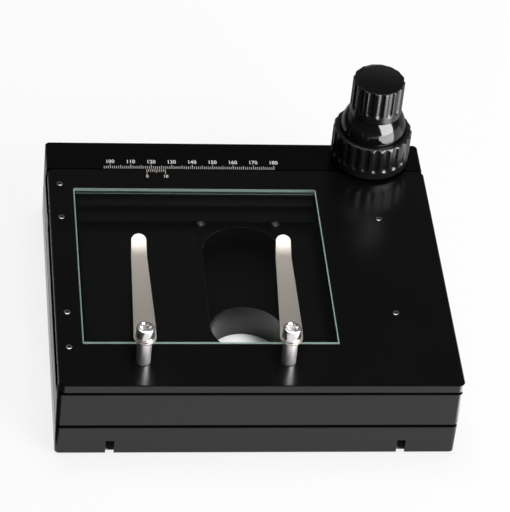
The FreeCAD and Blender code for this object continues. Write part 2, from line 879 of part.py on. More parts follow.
def end_bar_screws():
    return screws_at(bar_screw_places, plate_screw_seat, plate_screw, False, plate_screw_hex)


def plate_screws():
    return screws_at(plate_screw_places, plate_screw_seat, plate_screw, False, plate_screw_hex)


# Stage clips

clip_bottom = post_top + clip_axial_fit
clip_seat = clip_bottom + clip_t + clip_axial_fit
clip_screw_seat = clip_seat + clip_washer_t


def clip_post(x):
    profile = [
        (0, plate_top - post_stud_depth),
        (post_stud_r, plate_top - post_stud_depth),
        (post_stud_r, plate_top),
        (post_r, plate_top),
        (post_r, post_top),
        (clip_screw[2] + screw_fit, post_top),
        (clip_screw[2] + screw_fit, post_top - clip_screw[3]),
        (0, post_top - clip_screw[3]),
    ]
    return turned(profile, x, post_y)


def stage_clip(x, turn):
    """A spring strip bent from the post down to the glass, tapered and with a lifted round tip."""
    low = plate_top + clip_bend_height
    root = clip_root_width / 2
    tip = clip_tip_width / 2
    far = clip_reach + clip_tip
    line = [(-root, clip_bottom), (clip_flat, clip_bottom), (clip_reach, low), (far, low + clip_tip_rise)]
    upper = [(y, z + clip_t) for y, z in line[::-1]]
    points = [vec(-root, y, z) for y, z in line + upper]
    side = Part.Face(Part.makePolygon(points + points[:1])).extrude(vec(clip_root_width, 0, 0))
    end = far - tip
    high = clip_bottom + 2 * clip_t
    flank = [(-root, 0, plate_top), (root, 0, plate_top), (tip, end, plate_top), (-tip, end, plate_top)]
    ends = [rod(0, 0, plate_top, high, root), rod(0, end, plate_top, high, tip)]
    plan = prism(flank, high - plate_top).fuse(ends)
    strip = side.common(plan).cut(rod(0, 0, plate_top, high, clip_screw[2] + running_fit)).removeSplitter()
    strip.rotate(vec(0, 0, 0), vec(0, 0, 1), turn)
    strip.translate(vec(x, post_y, 0))
    return strip


def clip_washers():
    washers = []
    for x, y in post_places:
        disc = rod(x, y, clip_seat, clip_screw_seat, clip_washer_r)
        washers.append(disc.cut(rod(x, y, clip_seat, clip_screw_seat, clip_screw[2] + screw_fit)))
    return Part.makeCompound(washers)


def clip_screws():
    head_r, head_h, shank_r, length = clip_screw
    top = clip_screw_seat + head_h
    profile = [
        (0, clip_screw_seat - length),
        (shank_r, clip_screw_seat - length),
        (shank_r, clip_screw_seat),
        (head_r, clip_screw_seat),
        (head_r, top - clip_head_break),
        (head_r - clip_head_break, top),
        (0, top),
    ]
    screws = []
    for x, y in post_places:
        socket = hexagon(x, y, top - head_h / 2, top, clip_hex)
        screws.append(turned(profile, x, y).cut(socket))
    return Part.makeCompound(screws)


# Knobs and shafts

def fluted(body, radius, count, low, high, x, y):
    """Scalloped grip: hollows cut down the side from the top edge, each with a sloping end."""
    centre = radius - flute_depth + flute_r
    tools = []
    for k in range(count):
        a = 2 * math.pi * k / count
        cx = x + centre * math.cos(a)
        cy = y + centre * math.sin(a)
        foot = ring_of_points(0, 0, low - flute_run_out, flute_r - flute_depth, flute_sides)
        mouth = ring_of_points(0, 0, low, flute_r, flute_sides)
        sections = [Part.makePolygon([vec(*p) for p in ring + ring[:1]]) for ring in (foot, mouth)]
        tool = prism(mouth, high - low).fuse(Part.makeLoft(sections, True, True))
        tool.rotate(vec(0, 0, 0), vec(0, 0, 1), math.degrees(a) + 180)
        tool.translate(vec(cx, cy, 0))
        tools.append(tool)
    return body.cut(tools)


def ring_knob():
    seat = ring_top - ring_seat_depth
    groove_r = bell_r + bell_clear
    bore = sleeve_r + screw_fit
    profile = [
        (bore, ring_bottom),
        (ring_r - cap_chamfer, ring_bottom),
        (ring_r, ring_bottom + cap_chamfer),
        (ring_r, ring_top - ring_chamfer),
        (ring_r - ring_chamfer, ring_top),
        (groove_r, ring_top),
        (groove_r, seat),
        (bore, seat),
    ]
    body = turned(profile, knob_x, knob_y)
    return fluted(body, ring_r, ring_flutes, ring_bottom + ring_flange, ring_top, knob_x, knob_y)


def ring_washer():
    low = plate_top + bush_flange_t
    outer = rod(knob_x, knob_y, low, ring_washer_top, bush_flange_r)
    return outer.cut(rod(knob_x, knob_y, low, ring_washer_top, sleeve_r + running_fit))


def ring_sleeve():
    top = ring_top - ring_seat_depth
    outer = rod(knob_x, knob_y, x_pinion_bottom, top, sleeve_r)
    return outer.cut(rod(knob_x, knob_y, x_pinion_bottom, top, shaft_r + 2 * running_fit))


def x_pinion():
    top = x_pinion_bottom + pinion_width
    return pinion(knob_x, knob_y, x_pinion_bottom, top, x_pinion_teeth, sleeve_r + screw_fit, -90)


shaft_top = cap_top - disc_t - knob_screw_pocket - knob_web


def knob_bell():
    """The flared skirt between the ring and the grip."""
    bore = shaft_r + screw_fit
    rim = bell_bottom + bell_rim
    waist_r = bell_neck_r + (bell_r - bell_neck_r) * bell_waist_r
    waist_z = rim + (cap_bottom - rim) * bell_waist_z
    flare = Part.Arc(vec(bell_r, 0, rim), vec(waist_r, 0, waist_z), vec(bell_neck_r, 0, cap_bottom))
    outline = [(p.x, p.z) for p in flare.toShape().discretize(bell_steps + 1)]
    return turned(outline + [(bore, cap_bottom), (bore, bell_bottom), (bell_r, bell_bottom)], knob_x, knob_y)


def top_knob():
    """The fluted grip, open below its web round the shaft and closed by a disc above the screw."""
    bore = shaft_r + screw_fit
    web_low = shaft_top
    web_high = shaft_top + knob_web
    screw_bore = knob_screw[2] + screw_fit
    pocket_r = knob_screw[0] + head_room
    profile = [
        (bore, cap_bottom),
        (cap_r, cap_bottom),
        (cap_r, cap_top - cap_chamfer),
        (cap_r - cap_chamfer, cap_top),
        (disc_r, cap_top),
        (disc_r, cap_top - disc_t),
        (pocket_r, cap_top - disc_t),
        (pocket_r, web_high),
        (screw_bore, web_high),
        (screw_bore, web_low),
        (bore, web_low),
    ]
    body = turned(profile, knob_x, knob_y)
    return fluted(body, cap_r, cap_flutes, cap_bottom + cap_band, cap_top, knob_x, knob_y)


def cap_disc():
    return rod(knob_x, knob_y, cap_top - disc_t, cap_top - disc_sink, disc_r - screw_fit)


def top_knob_screw():
    return screw(knob_x, knob_y, shaft_top + knob_web, knob_screw, False, knob_screw_hex)


def y_shaft():
    bar = rod(knob_x, knob_y, y_pinion_bottom, shaft_top, shaft_r)
    hole_depth = knob_screw[3] - knob_web + head_fit
    return bar.cut(rod(knob_x, knob_y, shaft_top - hole_depth, shaft_top, knob_screw[2] + screw_fit))


def y_pinion():
    top = y_pinion_bottom + pinion_width
    return pinion(knob_x, knob_y, y_pinion_bottom, top, y_pinion_teeth, shaft_r + screw_fit, 180)


def build():
    os.makedirs("parts", exist_ok=True)
    save("base_plate", base_plate())
    save("rail_plate", rail_plate())
    save("base_screws", base_screws())
    save("base_rail_left", base_rail(-1))
    save("base_rail_right", base_rail(1))
    save("base_rail_screws", base_rail_screws())
    save("y_rack", y_rack())
    save("y_rack_screws", y_rack_screws())
    save("y_stop_pin", y_stop_pin())

    save("carriage_body", carriage_body())
    save("scale_strip", scale_strip())
    save("strip_screws", strip_screws())
    save("carriage_y_rail_left", carriage_y_rail(-1))
    save("carriage_y_rail_right", carriage_y_rail(1))
    save("carriage_y_rail_screws", carriage_y_rail_screws())
    save("carriage_x_rail_rear", carriage_x_rail(carriage_rear_face, 1))
    save("carriage_x_rail_front", carriage_x_rail(carriage_front_face, -1))
    save("carriage_x_rail_screws", carriage_x_rail_screws())
    save("ball_pins", ball_pins())
    save("knob_bearing", knob_bearing())
    save("web_bush", web_bush())

    half_gap = guide_gap / 2
    gaps = (
        ("x_front", "x", front_gap_y + half_gap, x_guide_z, x_cage_centre, x_roller_count),
        ("x_rear", "x", rear_gap_y + half_gap, x_guide_z, x_cage_centre, x_roller_count),
        ("y_left", "y", -right_guide_x + half_gap, y_guide_z, y_cage_centre, y_roller_count),
        ("y_right", "y", right_guide_x - half_gap, y_guide_z, y_cage_centre, y_roller_count),
    )
    for name, along, gap_centre, guide_z, centre, count in gaps:
        rollers, cage = rollers_and_cage(along, gap_centre, guide_z, centre, count)
        save(name + "_rollers", rollers)
        save(name + "_cage", cage)

    save("top_plate", top_plate())
    save("vernier_plate", vernier_plate())
    save("end_bar", end_bar())
    save("end_bar_screws", end_bar_screws())
    save("plate_screws", plate_screws())
    save("stage_glass", stage_glass())
    save("table_x_rail_rear", table_x_rail(table_rear_face, -1))
    save("table_x_rail_front", table_x_rail(table_front_face, 1))
    save("table_rail_screws", table_rail_screws())
    save("x_rack", x_rack())
    save("x_rack_screws", x_rack_screws())
    save("left_cross_bar", left_cross_bar())
    save("right_cross_bar", right_cross_bar())
    save("x_stop_block", x_stop_block())
    save("x_stop_screw", x_stop_screw())
    save("clip_post_left", clip_post(post_places[0][0]))
    save("clip_post_right", clip_post(post_places[1][0]))
    save("clip_left", stage_clip(post_places[0][0], left_clip_turn))
    save("clip_right", stage_clip(post_places[1][0], right_clip_turn))
    save("clip_washers", clip_washers())
    save("clip_screws", clip_screws())

    save("ring_knob", ring_knob())
    save("ring_washer", ring_washer())
    save("ring_sleeve", ring_sleeve())
    save("x_pinion", x_pinion())
    save("knob_bell", knob_bell())
    save("top_knob", top_knob())
    save("cap_disc", cap_disc())
    save("top_knob_screw", top_knob_screw())
    save("y_shaft", y_shaft())
    save("y_pinion", y_pinion())


build()
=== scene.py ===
import bmesh
import bpy
import json
import math
from mathutils import Matrix, Vector


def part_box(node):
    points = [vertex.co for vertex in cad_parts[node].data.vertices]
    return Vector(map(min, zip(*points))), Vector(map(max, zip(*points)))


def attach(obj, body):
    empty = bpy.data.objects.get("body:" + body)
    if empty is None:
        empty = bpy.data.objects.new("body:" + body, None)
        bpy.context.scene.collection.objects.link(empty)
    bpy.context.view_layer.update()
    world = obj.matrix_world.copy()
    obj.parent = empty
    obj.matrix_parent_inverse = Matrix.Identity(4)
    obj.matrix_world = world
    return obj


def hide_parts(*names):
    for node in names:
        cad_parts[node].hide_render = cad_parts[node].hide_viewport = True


# Mechanical microscope stage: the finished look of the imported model. Metres, +Z up.

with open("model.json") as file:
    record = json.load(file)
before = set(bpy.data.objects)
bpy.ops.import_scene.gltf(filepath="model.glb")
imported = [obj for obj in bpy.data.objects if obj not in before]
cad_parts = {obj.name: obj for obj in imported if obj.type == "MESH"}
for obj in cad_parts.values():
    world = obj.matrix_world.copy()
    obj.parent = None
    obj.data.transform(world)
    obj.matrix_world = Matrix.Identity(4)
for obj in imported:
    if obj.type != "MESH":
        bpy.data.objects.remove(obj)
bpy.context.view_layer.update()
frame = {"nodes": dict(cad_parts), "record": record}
nodes = frame["nodes"]
MM = 0.001

# Sizes shared with the model, in millimetres
plate_top = 43.0
strip_front = 91.0
knob_x, knob_y = 66.8, 101.0
post_xs = (-53.0, 13.0)
post_y = -45.0


# Shader arithmetic

class Value:
    """A shader socket that takes part in ordinary arithmetic."""

    def __init__(self, finish, socket):
        self.finish = finish
        self.socket = socket

    def with_math(self, operation, a, b=0.0):
        return self.finish.node("ShaderNodeMath", {0: a, 1: b}, operation=operation)

    def __add__(self, other):
        return self.with_math("ADD", self, other)

    __radd__ = __add__

    def __mul__(self, other):
        return self.with_math("MULTIPLY", self, other)

    __rmul__ = __mul__

    def __sub__(self, other):
        return self.with_math("SUBTRACT", self, other)

    def __rsub__(self, other):
        return self.with_math("SUBTRACT", other, self)

    def __gt__(self, other):
        return self.with_math("GREATER_THAN", self, other)

    def __lt__(self, other):
        return self.with_math("LESS_THAN", self, other)

    def __abs__(self):
        return self.with_math("ABSOLUTE", self)

    def largest(self, other):
        return self.with_math("MAXIMUM", self, other)


class Finish:
    """One node material, or the world, under construction."""

    def __init__(self, name, world=False):
        holder = bpy.data.worlds.new(name) if world else bpy.data.materials.new(name)
        holder.use_nodes = True
        self.holder = holder
        self.tree = holder.node_tree
        self.tree.nodes.clear()
        self.end = self.tree.nodes.new("ShaderNodeOutputWorld" if world else "ShaderNodeOutputMaterial")

    def node(self, kind, inputs=None, output=0, stops=None, **settings):
        """A node with its settings, then its inputs; gives back one of its outputs."""
        made = self.tree.nodes.new(kind)
        for key, value in settings.items():
            setattr(made, key, value)
        if stops:
            elements = made.color_ramp.elements
            elements[0].position, elements[1].position = stops[0][0], stops[-1][0]
            for place, _ in stops[1:-1]:
                elements.new(place)
            for element, (_, shade) in zip(elements, stops):
                element.color = (*shade, 1.0) if isinstance(shade, tuple) else (shade, shade, shade, 1.0)
        for key, value in (inputs or {}).items():
            if isinstance(value, Value):
                self.tree.links.new(value.socket, made.inputs[key])
            else:
                made.inputs[key].default_value = value
        return Value(self, made.outputs[output])

    def place(self, scale=(1, 1, 1), shift=(0, 0, 0)):
        where = self.node("ShaderNodeTexCoord", output="Object")
        return self.node("ShaderNodeMapping", {"Vector": where, "Scale": scale, "Location": shift})

    def axes(self, coordinates="Object"):
        where = self.node("ShaderNodeTexCoord", output=coordinates)
        parts = self.node("ShaderNodeSeparateXYZ", {0: where})
        outputs = parts.socket.node.outputs
        return [Value(self, outputs[k]) for k in range(3)]

    def noise(self, scale, detail=3.0, rough=0.5, stretch=(1, 1, 1)):
        return self.node(
            "ShaderNodeTexNoise",
            {"Vector": self.place(stretch), "Scale": scale, "Detail": detail, "Roughness": rough},
        )

    def between(self, low, high, amount):
        """A value that goes from low to high as amount goes from 0 to 1."""
        return amount * (high - low) + low

    def blend(self, amount, first, second):
        return self.node(
            "ShaderNodeMix",
            {0: amount, 6: (*first, 1.0) if isinstance(first, tuple) else first,
             7: (*second, 1.0) if isinstance(second, tuple) else second},
            output=2, data_type="RGBA",
        )

    def bump(self, height, strength, distance):
        return self.node("ShaderNodeBump", {"Height": height, "Strength": strength, "Distance": distance})

    def surface(self, shader):
        self.tree.links.new(shader.socket, self.end.inputs["Surface"])
        return self.holder

    def principled(self, **inputs):
        named = {key.replace("_", " "): value for key, value in inputs.items()}
        return self.node("ShaderNodeBsdfPrincipled", named)


# Finishes

def black_anodised(name="black anodised plate", tone=0.003, low=0.19, high=0.25):
    """Fine satin anodising over a blasted surface, with faint handling marks."""
    f = Finish(name)
    grain = f.noise(5200, 2.0, 0.6)
    cloud = f.noise(26, 4.0, 0.55)
    wipe = f.noise(90, 3.0, 0.6, (1, 0.12, 1))
    shade = f.blend(cloud, (tone * 0.75, tone * 0.74, tone * 0.76), (tone * 1.3, tone * 1.24, tone * 1.26))
    rough = f.between(low, high, cloud * 0.6 + wipe * 0.4)
    bump = f.bump(grain, 0.22, 0.00002)
    return f.surface(f.principled(
        Base_Color=shade, Roughness=rough, Normal=bump, IOR=1.5, Specular_IOR_Level=0.5,
    ))


def satin_black_grip():
    """The satin black of the fluted knobs, with a fine grain."""
    f = Finish("satin black grip")
    grain = f.noise(3800, 2.0, 0.6)
    cloud = f.noise(60, 3.0)
    shade = f.blend(cloud, (0.002, 0.0019, 0.002), (0.0042, 0.004, 0.0042))
    rough = f.between(0.2, 0.3, cloud)
    return f.surface(f.principled(
        Base_Color=shade, Roughness=rough, Normal=f.bump(grain, 0.15, 0.00002), IOR=1.5,
    ))


def gloss_black_skirt():
    """Polished black with faint turning lines."""
    f = Finish("gloss black skirt")
    cloud = f.noise(80, 3.0)
    turning = f.noise(900, 2.0, 0.5, (0.05, 0.05, 1))
    shade = f.blend(cloud, (0.001, 0.0009, 0.001), (0.0018, 0.0017, 0.0018))
    return f.surface(f.principled(
        Base_Color=shade, Roughness=f.between(0.06, 0.13, cloud),
        Normal=f.bump(turning, 0.05, 0.00001), IOR=1.52,
    ))


def cap_inlay():
    """The satin black of the disc in the cap's top."""
    f = Finish("satin cap inlay")
    grain = f.noise(4200, 2.0, 0.6)
    cloud = f.noise(70, 3.0)
    shade = f.blend(cloud, (0.002, 0.0018, 0.0019), (0.0034, 0.0031, 0.0032))
    return f.surface(f.principled(
        Base_Color=shade, Roughness=f.between(0.29, 0.36, cloud), Normal=f.bump(grain, 0.25, 0.00002),
    ))


def steel(name, colour, low, high, stretch, streaks=1400, depth=0.00001, worn=0.8):
    """Metal with fine parallel tool marks; stretch sets the way they run."""
    f = Finish(name)
    lines = f.noise(streaks, 3.0, 0.65, stretch)
    cloud = f.noise(60, 3.0)
    dull = tuple(c * worn for c in colour)
    shade = f.blend(lines * 0.7 + cloud * 0.3, dull, colour)
    return f.surface(f.principled(
        Base_Color=shade, Metallic=1.0, Roughness=f.between(low, high, lines * 0.6 + cloud * 0.4),
        Normal=f.bump(lines, 0.25, depth),
    ))


def bronze():
    """Mottled bearing bronze."""
    f = Finish("bearing bronze")
    cloud = f.noise(120, 3.0)
    marks = f.noise(1600, 2.0)
    shade = f.blend(cloud, (0.42, 0.27, 0.10), (0.62, 0.43, 0.19))
    return f.surface(f.principled(
        Base_Color=shade, Metallic=1.0, Roughness=f.between(0.22, 0.4, cloud),
        Normal=f.bump(marks, 0.15, 0.00001),
    ))


def stage_glass():
    """Clear float glass; its cut edges, and thin strips beside them on the top and underside, carry a painted
    shine: the green is the glass's own edge tint, and the emission that makes it shine is painted light.
    """
    f = Finish("clear glass with painted edge shine")
    lo, hi = (Vector(c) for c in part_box("stage_glass"))
    x, y, z = f.axes()
    mid = (lo + hi) / 2
    half = (hi - lo) / 2
    wall = (abs(x - mid.x) > half.x - 0.00012).largest(abs(y - mid.y) > half.y - 0.00012)
    # The strips of the top and underside beside the edges carry the same painted shine, a painted highlight
    # along the rims.
    painted_top_rim_shine = (abs(x - mid.x) > half.x - 0.0005).largest(y < lo.y + 0.0011) * (z > hi.z - 0.0003)
    painted_under_rim_shine = (y > hi.y - 0.0021) * (z < lo.z + 0.0001) * 0.6
    side = wall.largest(painted_top_rim_shine * 0.85).largest(painted_under_rim_shine)
    cloud = f.noise(300, 2.0)
    glass = f.principled(
        Base_Color=f.blend(cloud, (0.965, 0.985, 0.975), (0.98, 0.995, 0.99)), Roughness=0.0, IOR=1.5,
        Transmission_Weight=1.0,
    )
    # Painted shine: the green is the glass's own edge tint, and the emission that lights it up is painted
    # light standing in for light carried along the glass.
    painted_edge_shine = f.blend(cloud, (0.17, 0.235, 0.21), (0.27, 0.35, 0.32))
    edge = f.principled(
        Base_Color=painted_edge_shine, Roughness=f.between(0.25, 0.4, cloud), Emission_Color=painted_edge_shine, Emission_Strength=0.4,
    )
    clear = f.node("ShaderNodeBsdfTransparent", {"Color": (0.86, 0.9, 0.88, 1.0)})
    path = f.node("ShaderNodeLightPath", output="Is Shadow Ray")
    spread = f.node("ShaderNodeLightPath", output="Is Diffuse Ray")
    body = f.node("ShaderNodeMixShader", {0: path.largest(spread), 1: glass, 2: clear})
    return f.surface(f.node("ShaderNodeMixShader", {0: side, 1: body, 2: edge}))


def ink(name, colour):
    """Filled engraving: a matt paint with a slightly worn edge."""
    f = Finish(name)
    wear = f.noise(2600, 3.0, 0.7)
    shade = f.blend(wear, tuple(c * 0.72 for c in colour), colour)
    return f.surface(f.principled(
        Base_Color=shade, Roughness=f.between(0.5, 0.7, wear), Normal=f.bump(wear, 0.1, 0.00001),
    ))


finishes = {
    "black_anodised": black_anodised(),
    "inlay_black": black_anodised("vernier inlay", 0.0018, 0.22, 0.28),
    "strip_black": black_anodised("scale strip", 0.0012, 0.17, 0.22),
    "knob_black": satin_black_grip(),
    "knob_gloss": gloss_black_skirt(),
    "screw_steel": steel("turned screw steel", (0.34, 0.33, 0.34), 0.24, 0.36, (1, 1, 1)),
    "bright_steel": steel(
        "spring steel brushed lengthwise", (0.56, 0.52, 0.465), 0.42, 0.46, (1, 0.02, 1), 4200, 0.000002,
        worn=0.92,
    ),
    "clip_fittings": steel(
        "bright plated fittings", (0.86, 0.84, 0.85), 0.2, 0.3, (0.3, 0.3, 1), 1800, 0.000003,
    ),
    "turned_bright": steel(
        "turned bright posts", (0.93, 0.9, 0.9), 0.4, 0.46, (0.3, 0.3, 1), 1800, 0.000003,
    ),
    "blackened_steel": black_anodised("blackened guide rails", 0.004, 0.3, 0.4),
    "bare_rim": steel("bare machined rim", (0.62, 0.6, 0.61), 0.35, 0.5, (1, 1, 1)),
    "hard_steel": steel("ground hardened steel", (0.5, 0.5, 0.52), 0.22, 0.34, (0.1, 1, 1), 2200),
    "bronze": bronze(),
    "glass": stage_glass(),
    "cap_inlay": cap_inlay(),
    "scale_ink": ink("white scale filling", (0.78, 0.79, 0.78)),
    "vernier_ink": ink("cream vernier filling", (0.80, 0.76, 0.62)),
}
# Each carried-over node gets its slot's finish, but the X rails are blackened and the strip is darker
for part in frame["record"]["subparts"]:
    held = nodes[part["node"]]
    held.data.materials.clear()
    held.data.materials.append(finishes[part["material_slot"]])
for node in (
    "carriage_x_rail_rear", "carriage_x_rail_front", "carriage_x_rail_screws",
    "table_x_rail_rear", "table_x_rail_front", "table_rail_screws",
):
    nodes[node].data.materials[0] = finishes["blackened_steel"]
nodes["scale_strip"].data.materials[0] = finishes["strip_black"]


# Making new pieces

def piece(name, mesh_builder, body, finish, replaced=(), smooth=35.0):
    """Keeps a bmesh as an object that rides on a body and stands for the nodes it replaces."""
    bmesh.ops.remove_doubles(mesh_builder, verts=mesh_builder.verts, dist=1e-7)
    bmesh.ops.recalc_face_normals(mesh_builder, faces=mesh_builder.faces)
    mesh = bpy.data.meshes.new(name)
    mesh_builder.to_mesh(mesh)
    mesh_builder.free()
    mesh.shade_smooth()
    mesh.set_sharp_from_angle(angle=math.radians(smooth))
    made = bpy.data.objects.new(name, mesh)
    bpy.context.scene.collection.objects.link(made)
    mesh.materials.append(finishes[finish])
    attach(made, body)
    if replaced:
        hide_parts(*replaced)
    return made


def lathe(bm, outline, x, y, steps=96):
    """Spins (radius, height) points in millimetres about the vertical through (x, y)."""
    verts = [bm.verts.new((r * MM, 0, z * MM)) for r, z in outline]
    edges = [bm.edges.new(pair) for pair in zip(verts, verts[1:])]
    bmesh.ops.spin(
        bm, geom=verts + edges, cent=(0, 0, 0), axis=(0, 0, 1), angle=2 * math.pi, steps=steps, use_merge=True
    )
    fresh = [v for v in bm.verts if not v.tag]
    bmesh.ops.translate(bm, verts=fresh, vec=(x * MM, y * MM, 0))
    for v in fresh:
        v.tag = True
    return fresh


def rounded(outline, size, parts=3):
    """Rounds each inner corner of an outline of (radius, height) points by size."""
    result = [outline[0]]
    for before, corner, after in zip(outline, outline[1:], outline[2:]):
        here = Vector(corner)
        a, b = Vector(before) - here, Vector(after) - here
        cut = min(size, a.length * 0.45, b.length * 0.45)
        start, stop = here + a.normalized() * cut, here + b.normalized() * cut
        for k in range(parts + 1):
            t = k / parts
            result.append(tuple(start.lerp(here, t).lerp(here.lerp(stop, t), t)))
    result.append(outline[-1])
    return result


def finer(outline, step):
    """Adds points along an outline so that no run is longer than step."""
    result = [outline[0]]
    for a, b in zip(outline, outline[1:]):
        count = max(1, math.ceil((Vector(b) - Vector(a)).length / step))
        result += [tuple(Vector(a).lerp(Vector(b), (k + 1) / count)) for k in range(count)]
    return result


def scoop(verts, x, y, count, radius, flute_r, depth, low, high):
    """Presses round-ended flutes into turned vertices, open towards the top edge."""
    centre = radius - depth + flute_r
    for v in verts:
        dx, dy, z = v.co.x / MM - x, v.co.y / MM - y, v.co.z / MM
        r = math.hypot(dx, dy)
        if z < low - flute_r or z > high or r < radius - depth - 0.6:
            continue
        below = max(0.0, low - z)
        reach = math.sqrt(max(0.0, flute_r ** 2 - below ** 2))
        pitch = 2 * math.pi / count
        turn = (math.atan2(dy, dx) + pitch / 2) % pitch - pitch / 2
        aside = centre * math.sin(turn)
        if abs(aside) < reach:
            floor = centre * math.cos(turn) - math.sqrt(reach ** 2 - aside ** 2)
            if floor < r:
                v.co.x = (x + dx / r * floor) * MM
                v.co.y = (y + dy / r * floor) * MM


def socket_head(bm, x, y, top, radius, socket, depth, shank_r, foot, dome, steps=36, mouth=0.1):
    """A round screw head with a hexagon socket, its shank below; sizes in millimetres."""
    rings = [
        (socket * 0.5, top - depth, True),
        (socket * 0.5, top - mouth, True),
        (socket * 0.5 + mouth, top, False),
        (radius - dome, top, False),
        (radius - dome * 0.3, top - dome * 0.3, False),
        (radius, top - dome, False),
        (radius, foot[0], False),
        (shank_r, foot[0], False),
        (shank_r, foot[1], False),
    ]
    loops = []
    for r, z, hexed in rings:
        made = bmesh.ops.create_circle(bm, cap_ends=False, segments=steps, radius=r * MM)["verts"]
        for v in made:
            if hexed:
                turn = math.atan2(v.co.y, v.co.x) % (math.pi / 3) - math.pi / 6
                v.co.x /= math.cos(turn)
                v.co.y /= math.cos(turn)
            v.co += Vector((x * MM, y * MM, z * MM))
        loops.append(made)
    for a, b in zip(loops, loops[1:]):
        edges = {e for v in a + b for e in v.link_edges if e.other_vert(v) in set(a) | set(b)}
        edges = [e for e in edges if (e.verts[0] in a) == (e.verts[1] in a)]
        bmesh.ops.bridge_loops(bm, edges=edges)
    for loop in (loops[0], loops[-1]):
        bm.faces.new(loop)


# Knobs, in millimetres: heights and radii, then the bands below the flutes and the flutes themselves

ring_z0, ring_z1 = 44.65, 62.45
bell_z0 = 62.05
cap_z0 = bell_z0 + 11.4
cap_z1 = cap_z0 + 18.2
ring_r, cap_r = 19.2, 12.6
skirt_r, waist_r = 15.9, 12.1
sleeve_r, shaft_r = 6.05, 4.05
ring_recess_r, cap_recess_r, recess_depth = 16.3, 11.5, 0.8
ring_flutes, cap_flutes = 24, 16
ring_band, cap_band = 5.8, 5.4
flute_r, flute_depth = 2.6, 0.8


def fluted_ring():
    """The wide lower knob; its flutes run out at the top above a plain band."""
    bm = bmesh.new()
    outline = rounded([
        (sleeve_r, ring_z0), (ring_r - 0.4, ring_z0), (ring_r, ring_z0 + 0.4),
        (ring_r, ring_z0 + ring_band - flute_r),
        (ring_r, ring_z1 - 1.0), (ring_r - 1.0, ring_z1), (ring_recess_r, ring_z1),
        (ring_recess_r, ring_z1 - recess_depth), (sleeve_r, ring_z1 - recess_depth),
    ], 0.25)
    outline.append(outline[0])
    verts = lathe(bm, finer(outline, 0.5), knob_x, knob_y, ring_flutes * 16)
    scoop(verts, knob_x, knob_y, ring_flutes, ring_r, flute_r, flute_depth, ring_z0 + ring_band, ring_z1)
    return piece("fluted_x_ring", bm, "x_knob", "knob_black", ["ring_knob"])


def flared_skirt():
    """The bell below the cap, drawn in from its rim to its waist along one curve."""
    bm = bmesh.new()
    rim_z = bell_z0 + 2.2
    rim, waist = Vector((skirt_r, rim_z)), Vector((waist_r, cap_z0))
    through = Vector((waist_r + (skirt_r - waist_r) * 0.68, rim_z + (cap_z0 - rim_z) * 0.56))
    pull = through * 2 - (rim + waist) / 2
    parts = 24
    curve = [
        tuple(rim.lerp(pull, k / parts).lerp(pull.lerp(waist, k / parts), k / parts))
        for k in range(parts + 1)
    ]
    under = [(shaft_r, bell_z0), (skirt_r - 0.3, bell_z0), (skirt_r, bell_z0 + 0.3)]
    lathe(bm, under + curve + [(shaft_r, cap_z0), under[0]], knob_x, knob_y, 128)
    return piece("flared_skirt", bm, "y_knob", "knob_gloss", ["knob_bell"])


def fluted_cap():
    """The narrow upper knob, bored for the shaft and for its screw."""
    screw_head_r, screw_r = 3.75, 1.55
    pocket_z, ledge_z = cap_z1 - 5.4, cap_z1 - 7.4
    bm = bmesh.new()
    outline = rounded([
        (shaft_r, cap_z0), (cap_r, cap_z0), (cap_r, cap_z0 + cap_band - flute_r),
        (cap_r, cap_z1 - 0.4), (cap_r - 0.4, cap_z1), (cap_recess_r, cap_z1),
        (cap_recess_r, cap_z1 - recess_depth), (screw_head_r, cap_z1 - recess_depth),
        (screw_head_r, pocket_z), (screw_r, pocket_z), (screw_r, ledge_z), (shaft_r, ledge_z),
    ], 0.18)
    outline.append(outline[0])
    verts = lathe(bm, finer(outline, 0.5), knob_x, knob_y, cap_flutes * 20)
    scoop(verts, knob_x, knob_y, cap_flutes, cap_r, flute_r, flute_depth, cap_z0 + cap_band, cap_z1)
    return piece("fluted_y_cap", bm, "y_knob", "knob_black", ["top_knob"])


def cap_insert():
    """The disc that fills the recess in the cap's top."""
    low, high, radius = cap_z1 - recess_depth, cap_z1 - 0.1, cap_recess_r - 0.05
    bm = bmesh.new()
    lathe(bm, rounded([(0, low), (radius, low), (radius, high), (0, high)], 0.15), knob_x, knob_y, 96)
    return piece("cap_insert", bm, "y_knob", "cap_inlay", ["cap_disc"])


# Clip fittings, stacked on the plate a small clearance apart, in millimetres

clearance, strip_t, washer_t = 0.05, 0.9, 0.9
post_top = plate_top + 14.2
clip_top = post_top + clearance + strip_t
washer_top = clip_top + clearance + washer_t
post_r, peg_r, hole_r, washer_r = 3.3, 1.5, 2.05, 4.6


def clip_fittings():
    """The turned posts, washers and socket cap screws that hold the spring strips."""
    for side, x in zip(("left", "right"), post_xs):
        bm = bmesh.new()
        outline = rounded([
            (0, plate_top - 3.3), (peg_r, plate_top - 3.3), (peg_r, plate_top),
            (post_r - 0.3, plate_top), (post_r, plate_top + 0.3),
            (post_r, post_top - 0.4), (post_r - 0.4, post_top),
            (hole_r, post_top), (hole_r, post_top - 7.0), (0, post_top - 7.0),
        ], 0.12)
        lathe(bm, outline, x, post_y, 72)
        piece(
            "turned_post_" + side, bm, "table", "turned_bright", ["clip_post_" + side],
        )
    washer_foot = clip_top + clearance
    bm = bmesh.new()
    for x in post_xs:
        ring = rounded([
            (hole_r, washer_foot), (washer_r, washer_foot), (washer_r, washer_top), (hole_r, washer_top),
        ], 0.2)
        lathe(bm, ring + ring[:1], x, post_y, 72)
    piece("bright_washers", bm, "table", "clip_fittings", ["clip_washers"])
    bm = bmesh.new()
    for x in post_xs:
        socket_head(
            bm, x, post_y, top=washer_top + 5.2, radius=4.2, socket=4.2, depth=2.6, shank_r=2.0,
            foot=(washer_top, washer_top - 7.0), dome=0.4, steps=72, mouth=0.7,
        )
    piece("socket_cap_screws", bm, "table", "clip_fittings", ["clip_screws"])


